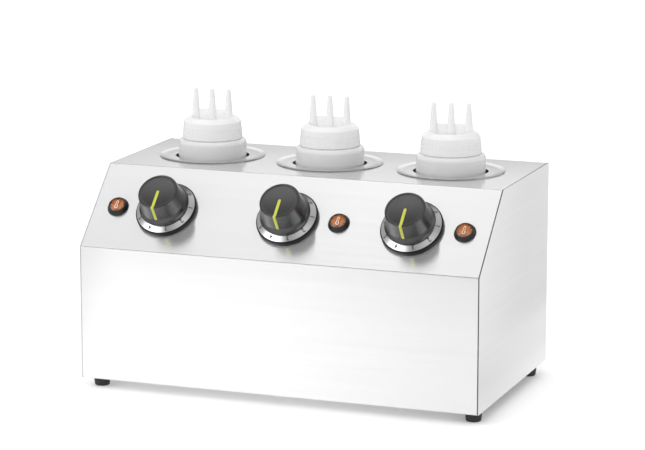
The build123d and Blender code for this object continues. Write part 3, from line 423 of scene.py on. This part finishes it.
# painted shade: bottles and caps are painted greyer lower down
bottle_finish = frosted_plastic(
    "bottle_milky", (0.80, 0.80, 0.80), (0.68, 0.68, 0.68),
    panel_top_z + 0.019, panel_top_z - 0.004, 0.26
)
cap_finish = frosted_plastic(
    "cap_milky", (0.89, 0.89, 0.89), (0.87, 0.87, 0.87), neck_z + 0.03, neck_z - 0.02, 0.28
)
for i in STATIONS:
    well_edge = (middle(f"bottle_well_{i}"), well_rim_r, well_edge_painted_shade)
    knob_dome = (dial_centres[i - 1], slope_normal, *knob_swell)
    lens_middle = on_slope(lamp_centres[i - 1], 0, 0, lens_highlight_h)
    painted.update({
        f"bottle_well_{i}": turned_metal(f"spun_well_{i}", well_tone, 0.17, cut_edge=well_edge),
        f"heater_band_{i}": heater_finish,
        f"thermostat_{i}": stat_finish,
        f"thermostat_shaft_{i}": shaft_finish,
        f"sensor_bulb_{i}": copper_finish,
        f"dial_bezel_{i}": bezel_finish,
        f"dial_scale_{i}": scale_finish,
        f"knob_{i}": moulded_plastic(
            f"knob_satin_black_{i}", (0.011, 0.011, 0.0115), 0.27, Specular_IOR_Level=1.0,
            dome=knob_dome
        ),
        f"knob_pointer_{i}": pointer_finish,
        f"lamp_body_{i}": case_finish,
        f"lamp_lens_{i}": lamp_glass(
            f"amber_lens_{i}", lens_middle, slope_up, lens_inner, lens_outer
        ),
        f"bottle_{i}": bottle_finish,
        f"nozzle_cap_{i}": cap_finish,
    })
for node, material in painted.items():
    paint(node, material)


# ---------------------------------------------------------------- small pieces
def new_piece(name, vertices, faces, material, body):
    """A mesh piece in the row frame that rides on a body."""
    mesh = bpy.data.meshes.new(name)
    mesh.from_pydata([tuple(v) for v in vertices], [], faces)
    mesh.materials.append(material)
    build = bmesh.new()
    build.from_mesh(mesh)
    bmesh.ops.recalc_face_normals(build, faces=build.faces)
    build.to_mesh(mesh)
    build.free()
    piece = bpy.data.objects.new(name, mesh)
    bpy.context.scene.collection.objects.link(piece)
    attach(piece, body)
    return piece


def digit_mesh(text, size, thickness):
    """Points and faces of one plain digit, flat, centred on the origin."""
    curve = bpy.data.curves.new("digit", "FONT")
    curve.body = text
    curve.size = size
    curve.extrude = thickness / 2
    curve.align_x = "CENTER"
    curve.align_y = "CENTER"
    curve.resolution_u = 3
    curve.offset = size * digit_bold
    shape = bpy.data.objects.new("digit", curve)
    bpy.context.scene.collection.objects.link(shape)
    mesh = bpy.data.meshes.new_from_object(shape)
    build = bmesh.new()
    build.from_mesh(mesh)
    bmesh.ops.remove_doubles(build, verts=build.verts, dist=1e-7)
    build.to_mesh(mesh)
    build.free()
    low = min(v.co.y for v in mesh.vertices)
    high = max(v.co.y for v in mesh.vertices)
    left = min(v.co.x for v in mesh.vertices)
    right = max(v.co.x for v in mesh.vertices)
    points = [
        (v.co.x - (left + right) / 2, v.co.y - (low + high) / 2, v.co.z) for v in mesh.vertices
    ]
    faces = [tuple(p.vertices) for p in mesh.polygons]
    bpy.data.objects.remove(shape)
    bpy.data.curves.remove(curve)
    bpy.data.meshes.remove(mesh)
    return points, faces


# the scale's cone, as radius and height above the panel
scale_outer = (0.0310, 0.0053)
scale_inner = (0.0246, 0.0082)
print_t = 0.00006
print_raise = 0.3        # height of the figures' middle above the cone, as a share of print_t
digit_size = 0.0064
digit_bold = 0.018
digit_r = 0.0278
mark_count = 8
first_mark = 50.0        # degrees from the top of the dial, clockwise
mark_step = 37.2
lean = atan2(scale_inner[1] - scale_outer[1], scale_outer[0] - scale_inner[0])


def scale_height(r):
    share = (scale_outer[0] - r) / (scale_outer[0] - scale_inner[0])
    return scale_outer[1] + share * (scale_inner[1] - scale_outer[1])


for i, centre in zip(STATIONS, dial_centres):
    vertices, faces = [], []
    for mark in range(mark_count):
        angle = radians(first_mark + mark_step * mark)
        points, digit_faces = digit_mesh(str(mark), digit_size, print_t)
        start = len(vertices)
        for px, py, pz in points:
            r = digit_r + py * cos(lean)
            turn = angle + px / digit_r
            height = scale_height(r) + pz + print_t * print_raise
            vertices.append(on_slope(centre, r * sin(turn), r * cos(turn), height))
        faces += [tuple(start + k for k in face) for face in digit_faces]
    new_piece(f"dial_numbers_{i}", vertices, faces, print_finish, "housing")


# plain thermometer sign on each lens: an outlined stem over an outlined bulb
lens_r = 0.0081
lens_rim_h = 0.0044
lens_dome = 0.0009
dome_r = (lens_r ** 2 + lens_dome ** 2) / (2 * lens_dome)
# half of the stem's width, the middle of its round top, the bulb's radius and its middle
sign_outer = (0.00125, 0.0036, 0.0020, -0.0026)
sign_inner = (0.00060, 0.0035, 0.00115, -0.0026)
sign_lifts = (-0.00004, 0.00008)     # its under and upper side, from the lens's surface


def lens_height(x, up):
    return lens_rim_h + lens_dome - dome_r + (dome_r ** 2 - x * x - up * up) ** 0.5


def thermometer_outline(stem_half, stem_top, bulb_r, bulb_y, steps=10):
    """Closed outline of a stem with a round top that runs into a round bulb."""
    meet = atan2((bulb_r ** 2 - stem_half ** 2) ** 0.5, stem_half)
    arc = [meet - (2 * meet + pi) * k / (3 * steps) for k in range(3 * steps + 1)]
    bulb = [(bulb_r * cos(a), bulb_y + bulb_r * sin(a)) for a in arc]
    top_arc = [pi - pi * k / steps for k in range(steps + 1)]
    cap = [(stem_half * cos(a), stem_top + stem_half * sin(a)) for a in top_arc]
    return bulb + cap


for i, centre in zip(STATIONS, lamp_centres):
    outer = thermometer_outline(*sign_outer)
    inner = thermometer_outline(*sign_inner)
    vertices, faces = [], []
    count = len(outer)
    for lift in sign_lifts:
        for x, up in outer + inner:
            vertices.append(on_slope(centre, x, up, lens_height(x, up) + lift))
    for k in range(count):
        n = (k + 1) % count
        low_out, low_in, high_out, high_in = 0, count, 2 * count, 3 * count
        faces.append((high_out + k, high_out + n, high_in + n, high_in + k))
        faces.append((low_out + n, low_out + k, low_in + k, low_in + n))
        faces.append((low_out + k, low_out + n, high_out + n, high_out + k))
        faces.append((low_in + n, low_in + k, high_in + k, high_in + n))
    new_piece(f"lamp_sign_{i}", vertices, faces, symbol_finish, "housing")


# raised screw thread round each bottle's neck
neck_r = 0.0280
thread_root = 0.0003     # how deep the thread is rooted in the neck
thread_proud = 0.00045
thread_half = 0.0011
thread_crest = 0.35      # crest's width as a share of the root's
thread_run_out = 8       # its ends swell over 1 / 8 of its length
thread_turns = 1.6
thread_pitch = 0.0045
thread_steps = 150
shoulder_h = 0.0186      # bottle's shoulder above the panel
thread_gap = 0.0042      # start of the thread above the shoulder
thread_low = panel_top_z + shoulder_h + thread_gap
for i in STATIONS:
    axis = middle(f"bottle_{i}")
    vertices, faces = [], []
    for k in range(thread_steps + 1):
        share = k / thread_steps
        angle = share * thread_turns * 2 * pi
        z = thread_low + share * thread_turns * thread_pitch
        swell = min(1.0, thread_run_out * share, thread_run_out * (1 - share))
        profile = (
            (neck_r - thread_root, -thread_half),
            (neck_r + thread_proud * swell, -thread_half * thread_crest),
            (neck_r + thread_proud * swell, thread_half * thread_crest),
            (neck_r - thread_root, thread_half),
        )
        for r, dz in profile:
            vertices.append((axis.x + r * cos(angle), axis.y + r * sin(angle), z + dz))
    for k in range(thread_steps):
        for side in range(4):
            a = 4 * k + side
            b = 4 * k + (side + 1) % 4
            faces.append((a, b, b + 4, a + 4))
    faces.append((3, 2, 1, 0))
    faces.append(tuple(4 * thread_steps + k for k in range(4)))
    body = f"bottle_{i}_body"
    new_piece(f"neck_thread_{i}", vertices, faces, bottle_finish, body)


# ---------------------------------------------------------------- floor, world and lamps
def make_floor():
    """A plain pale disc, brighter to the camera than as a light on the object. In gloss it has
    levels of its own, set for the photograph's view."""
    build = bmesh.new()
    bmesh.ops.create_circle(build, cap_ends=True, radius=floor_r, segments=96)
    mesh = bpy.data.meshes.new("studio_floor")
    build.to_mesh(mesh)
    build.free()
    material, tree, shader = new_material("pale_floor", Roughness=0.9, Specular_IOR_Level=0.0)
    grain = noise(tree, (6.0, 6.0, 6.0))
    pale = blend_colors(tree, grain, (0.895, 0.895, 0.895), (0.905, 0.905, 0.905))
    path = new_node(tree, "LightPath").outputs
    # in gloss the floor turns dim where the sweep ends in front of the object
    place = new_node(tree, "SeparateXYZ", {"Vector": object_place(tree)}).outputs
    dim = remap(tree, place["Y"], 1.0, 0.0, *floor_dim_range)
    dimmed = combine(tree, "MULTIPLY", dim, path["Is Glossy Ray"])
    seen = combine(tree, "MAXIMUM", path["Is Camera Ray"], path["Is Transmission Ray"])
    gain = combine(tree, "ADD", 1.0, combine(tree, "MULTIPLY", seen, floor_gain - 1.0))
    shown = new_node(tree, "VectorMath", {0: pale, "Scale": gain}, operation="SCALE").outputs[0]
    color = blend_colors(tree, dimmed, shown, (floor_dim, floor_dim, floor_dim))
    tree.links.new(color, shader.inputs["Base Color"])
    near = combine(tree, "MULTIPLY", path["Is Glossy Ray"], combine(tree, "SUBTRACT", 1.0, dim))
    # the place on the front that reflects a point of the floor to the photograph's side
    slant = combine(tree, "MULTIPLY", place["Y"], view_tangent)
    mirrored = combine(tree, "SUBTRACT", place["X"], slant)
    right_fall = remap(tree, mirrored, floor_gloss, floor_gloss_right, *floor_right_range)
    near_rise = remap(tree, place["Y"], 0.0, floor_gloss_near, *floor_near_range)
    front_gloss = combine(tree, "ADD", right_fall, near_rise)
    # the floor right of the object, which the side panel reflects
    side_drop = floor_gloss_right + floor_gloss_near - floor_gloss_side
    side_fall = remap(tree, place["X"], 0.0, side_drop, *floor_side_range)
    # left of what the front reflects towards the camera's side, the lift ends
    reach = combine(tree, "MULTIPLY", place["X"], view_cotangent)
    beside = combine(tree, "SUBTRACT", place["Y"], reach)
    left_end = remap(tree, beside, 1.0, 0.0, *floor_left_range)
    gloss = combine(tree, "MULTIPLY", combine(tree, "SUBTRACT", front_gloss, side_fall), left_end)
    seen_lift = combine(tree, "MULTIPLY", seen, floor_lift)
    lift = combine(tree, "ADD", seen_lift, combine(tree, "MULTIPLY", near, gloss))
    glow = new_node(tree, "Emission", {"Color": (1, 1, 1, 1), "Strength": lift})
    total = new_node(tree, "AddShader", {0: shader.outputs[0], 1: glow.outputs[0]})
    tree.links.new(total.outputs[0], tree.nodes["Material Output"].inputs["Surface"])
    mesh.materials.append(material)
    floor = bpy.data.objects.new("studio_floor", mesh)
    bpy.context.scene.collection.objects.link(floor)


def set_ramp(ramp, stops):
    """Fill a colour ramp with (position, grey level) stops."""
    elements = ramp.color_ramp.elements
    for spare in list(elements)[1:]:
        elements.remove(spare)
    elements[0].position = stops[0][0]
    elements[0].color = (*[stops[0][1]] * 3, 1.0)
    for position, value in stops[1:]:
        elements.new(position).color = (value, value, value, 1.0)


# grey of the room in gloss, by pitch in degrees: 0 is the front horizon, 90 overhead
room_levels = (
    (-180, 0.50), (-20, 0.50), (-2, 0.22), (26, 0.22), (36, 0.36), (60, 0.36), (70, 0.42),
    (80, 1.10), (89, 1.60), (99, 1.70), (105, 0.15), (146, 0.15), (158, 0.86), (166, 0.92),
    (173, 0.60), (180, 0.40),
)
right_levels = (
    (-180, 0.50), (-20, 0.50), (-2, 0.25), (26, 0.30), (36, 0.50), (47, 0.65), (54, 0.75),
    (62, 0.68), (71, 0.53), (80, 0.45), (100, 0.53), (125, 0.55), (150, 0.40), (180, 0.40),
)
far_left_level = 0.42
# changes across the room: a low and a high factor, and the X of the direction at each end
middle_rise = (0.90, 1.08, -0.41, -0.32)
middle_fall = (1.0, 0.90, -0.32, -0.27)
right_fade = (1.0, 0.5, 0.3, 0.7)
# X of the direction where the far left and the right side blend in
left_blend = (-0.78, -0.50)
right_blend = (-0.10, 0.12)
# softboxes seen in gloss: azimuth from the front towards +X, elevation, half width, brightness
softboxes = ((-38, 14, 22, 2.0), (50, 12, 15, 1.9), (64, 26, 12, 1.0))
softbox_edge = (1.3, 0.7)        # where its edge begins and ends, as shares of the half width
room_horizon = 1.22      # even light for matt things at the horizon
room_zenith = 0.66
floor_r = 14.0
floor_gain = 1.25        # the floor seen directly, against the floor as it lights the object
floor_lift = 0.12        # glow added to the floor seen directly
# glow added to the floor in gloss: left, right, extra near the front, and beside the right panel
floor_gloss = 0.34
floor_gloss_right = 0.14
floor_gloss_near = 0.05
floor_gloss_side = 0.02
floor_dim = 0.28         # grey of the floor in gloss where the sweep ends
floor_dim_range = (-1.10, -0.92)
floor_right_range = (0.048, 0.248)
floor_near_range = (-0.30, -0.15)
floor_side_range = (0.23, 0.26)
floor_left_range = (0.46, 0.60)
# tangent and cotangent of the camera's azimuth, rounded
view_tangent = 0.374
view_cotangent = 2.675


def make_world():
    """A studio room: white to the camera, even to matt things, and in gloss a backdrop, a ceiling
    light, dim walls and softboxes."""
    world = bpy.data.worlds.new("studio")
    world.use_nodes = True
    tree = world.node_tree
    back = tree.nodes["Background"]
    direction = new_node(tree, "TexCoord").outputs["Generated"]
    parts = new_node(tree, "SeparateXYZ", {"Vector": direction})
    forward = combine(tree, "MULTIPLY", parts.outputs["Y"], -1.0)
    radians_up = combine(tree, "ARCTAN2", parts.outputs["Z"], forward)
    pitch = combine(tree, "MULTIPLY", radians_up, 180.0 / pi)
    turn = remap(tree, pitch, 0.0, 1.0, -180.0, 180.0)
    levels = []
    for stops in (room_levels, right_levels):
        ramp = new_node(tree, "ValToRGB", {"Fac": turn})
        set_ramp(ramp, [((angle + 180) / 360, level) for angle, level in stops])
        levels.append(ramp.outputs["Color"])
    across = parts.outputs["X"]
    middle_tilt = combine(
        tree, "MULTIPLY", remap(tree, across, *middle_rise), remap(tree, across, *middle_fall)
    )
    centre_level = combine(tree, "MULTIPLY", levels[0], middle_tilt)
    right_level = combine(tree, "MULTIPLY", levels[1], remap(tree, across, *right_fade))
    leftward = remap(tree, across, 1.0, 0.0, *left_blend)
    left_part = mix_levels(tree, leftward, centre_level, far_left_level)
    rightward = remap(tree, across, 0.0, 1.0, *right_blend)
    gloss = mix_levels(tree, rightward, left_part, right_level)
    for azimuth, elevation, half, strength in softboxes:
        around, up = radians(azimuth), radians(elevation)
        axis = (sin(around) * cos(up), -cos(around) * cos(up), sin(up))
        nearness = vector_math(tree, "DOT_PRODUCT", direction, axis, out="Value")
        begin, end = (cos(radians(share * half)) for share in softbox_edge)
        spot = remap(tree, nearness, 0.0, strength, begin, end)
        gloss = combine(tree, "ADD", gloss, spot)
    path = new_node(tree, "LightPath").outputs
    even = remap(tree, parts.outputs["Z"], room_horizon, room_zenith)
    level = mix_levels(tree, path["Is Glossy Ray"], even, gloss)
    seen = combine(tree, "MAXIMUM", path["Is Camera Ray"], path["Is Transmission Ray"])
    shown = mix_levels(tree, seen, level, 1.0)
    back.inputs["Color"].default_value = (1, 1, 1, 1)
    tree.links.new(shown, back.inputs["Strength"])
    bpy.context.scene.world = world


def area_light(name, place, target, size, power):
    data = bpy.data.lights.new(name, "AREA")
    data.shape = "RECTANGLE"
    data.size, data.size_y = size
    data.energy = power
    lamp = bpy.data.objects.new(name, data)
    lamp.location = place
    lamp.rotation_euler = (Vector(target) - Vector(place)).to_track_quat("-Z", "Y").to_euler()
    lamp.visible_glossy = False
    bpy.context.scene.collection.objects.link(lamp)


def gloss_card(name, first, last, low, high, paint_level, one_sided=False):
    """An upright grey card from first to last, as (x, y), that only gloss sees.

    paint_level(tree, place) gives its grey at a place. one_sided leaves the card's back clear.
    """
    build = bmesh.new()
    corners = ((*first, low), (*last, low), (*last, high), (*first, high))
    build.faces.new([build.verts.new(corner) for corner in corners])
    mesh = bpy.data.meshes.new(name)
    build.to_mesh(mesh)
    build.free()
    material = bpy.data.materials.new(name + "_grey")
    material.use_nodes = True
    tree = material.node_tree
    tree.nodes.remove(tree.nodes["Principled BSDF"])
    place = new_node(tree, "SeparateXYZ", {"Vector": object_place(tree)}).outputs
    level = paint_level(tree, place)
    seen = new_node(tree, "Emission", {"Color": (1, 1, 1, 1), "Strength": level}).outputs[0]
    if one_sided:
        facing_back = new_node(tree, "NewGeometry").outputs["Backfacing"]
        clear = new_node(tree, "BsdfTransparent").outputs[0]
        seen = new_node(tree, "MixShader", {0: facing_back, 1: seen, 2: clear}).outputs[0]
    tree.links.new(seen, tree.nodes["Material Output"].inputs["Surface"])
    mesh.materials.append(material)
    card = bpy.data.objects.new(name, mesh)
    bpy.context.scene.collection.objects.link(card)
    card.visible_camera = False
    card.visible_diffuse = False
    card.visible_transmission = False
    card.visible_shadow = False


def rear_card_level(tree, place):
    """The top panel darkens to the rear, and a little to the left."""
    low_part = remap(tree, place["Z"], 0.15, 0.45, 0.18, 0.24)
    high_part = remap(tree, place["Z"], 0.0, 0.72, 0.258, 0.304)
    leftward = remap(tree, place["X"], 0.84, 1.0, -0.37, -0.22)
    return combine(tree, "MULTIPLY", combine(tree, "ADD", low_part, high_part), leftward)


def side_card_level(tree, place):
    """The right side darkens to the rear, and a little downwards."""
    rearward = remap(tree, place["Y"], 1.02, 0.785, 0.05, 0.31)
    return combine(tree, "MULTIPLY", rearward, remap(tree, place["Z"], 0.94, 1.0, 0.0, 0.15))


def front_card_level(tree, place):
    """Seen from behind the object, the top panel shows this in place of the front softboxes."""
    return remap(tree, place["Z"], 0.62, 0.78, panel_top_z, panel_top_z + 0.12)


rear_card_y = 0.30
side_card_x = 0.30
front_card_half = 0.60
fold_y = dial_centres[0].y + slope_up.y / slope_up.z * (panel_top_z - dial_centres[0].z)
card_y = fold_y + 0.002          # just behind the fold between the slope and the top
card_low = panel_top_z + 0.001

make_floor()
make_world()
gloss_card("rear_card", (-0.60, rear_card_y), (0.20, rear_card_y), 0.10, 0.45, rear_card_level)
gloss_card("side_card", (side_card_x, -0.10), (side_card_x, 0.45), 0.00, 0.35, side_card_level)
gloss_card(
    "front_card", (front_card_half, card_y), (-front_card_half, card_y), card_low, 0.60,
    front_card_level, one_sided=True
)
# name, place, target, size in metres and power in watts
studio_lights = (
    ("key", (-1.2, -1.7, 1.6), (0, -0.3, 0.0), (1.4, 1.0), 11),
    ("overhead", (0.2, 0.1, 2.0), (0, 0, 0.1), (1.0, 1.0), 3),
)
for studio_light in studio_lights:
    area_light(*studio_light)

# ---------------------------------------------------------------- camera
camera_azimuth = radians(20.469)
camera_elevation = radians(11.642)
camera_distance = 2.98216
camera_target = Vector((0.003385, 0.0, 0.164376))
camera_sensor = 36.0
camera_lens = 159.75
data = bpy.data.cameras.new("camera")
data.sensor_width = camera_sensor
data.lens = camera_lens
data.clip_end = 100.0
camera = bpy.data.objects.new("camera", data)
away = Vector((
    sin(camera_azimuth) * cos(camera_elevation),
    -cos(camera_azimuth) * cos(camera_elevation),
    sin(camera_elevation),
))
camera.location = camera_target + away * camera_distance
camera.rotation_euler = (pi / 2 - camera_elevation, 0.0, camera_azimuth)
bpy.context.scene.collection.objects.link(camera)
bpy.context.scene.camera = camera
bpy.context.scene.view_settings.view_transform = "Standard"
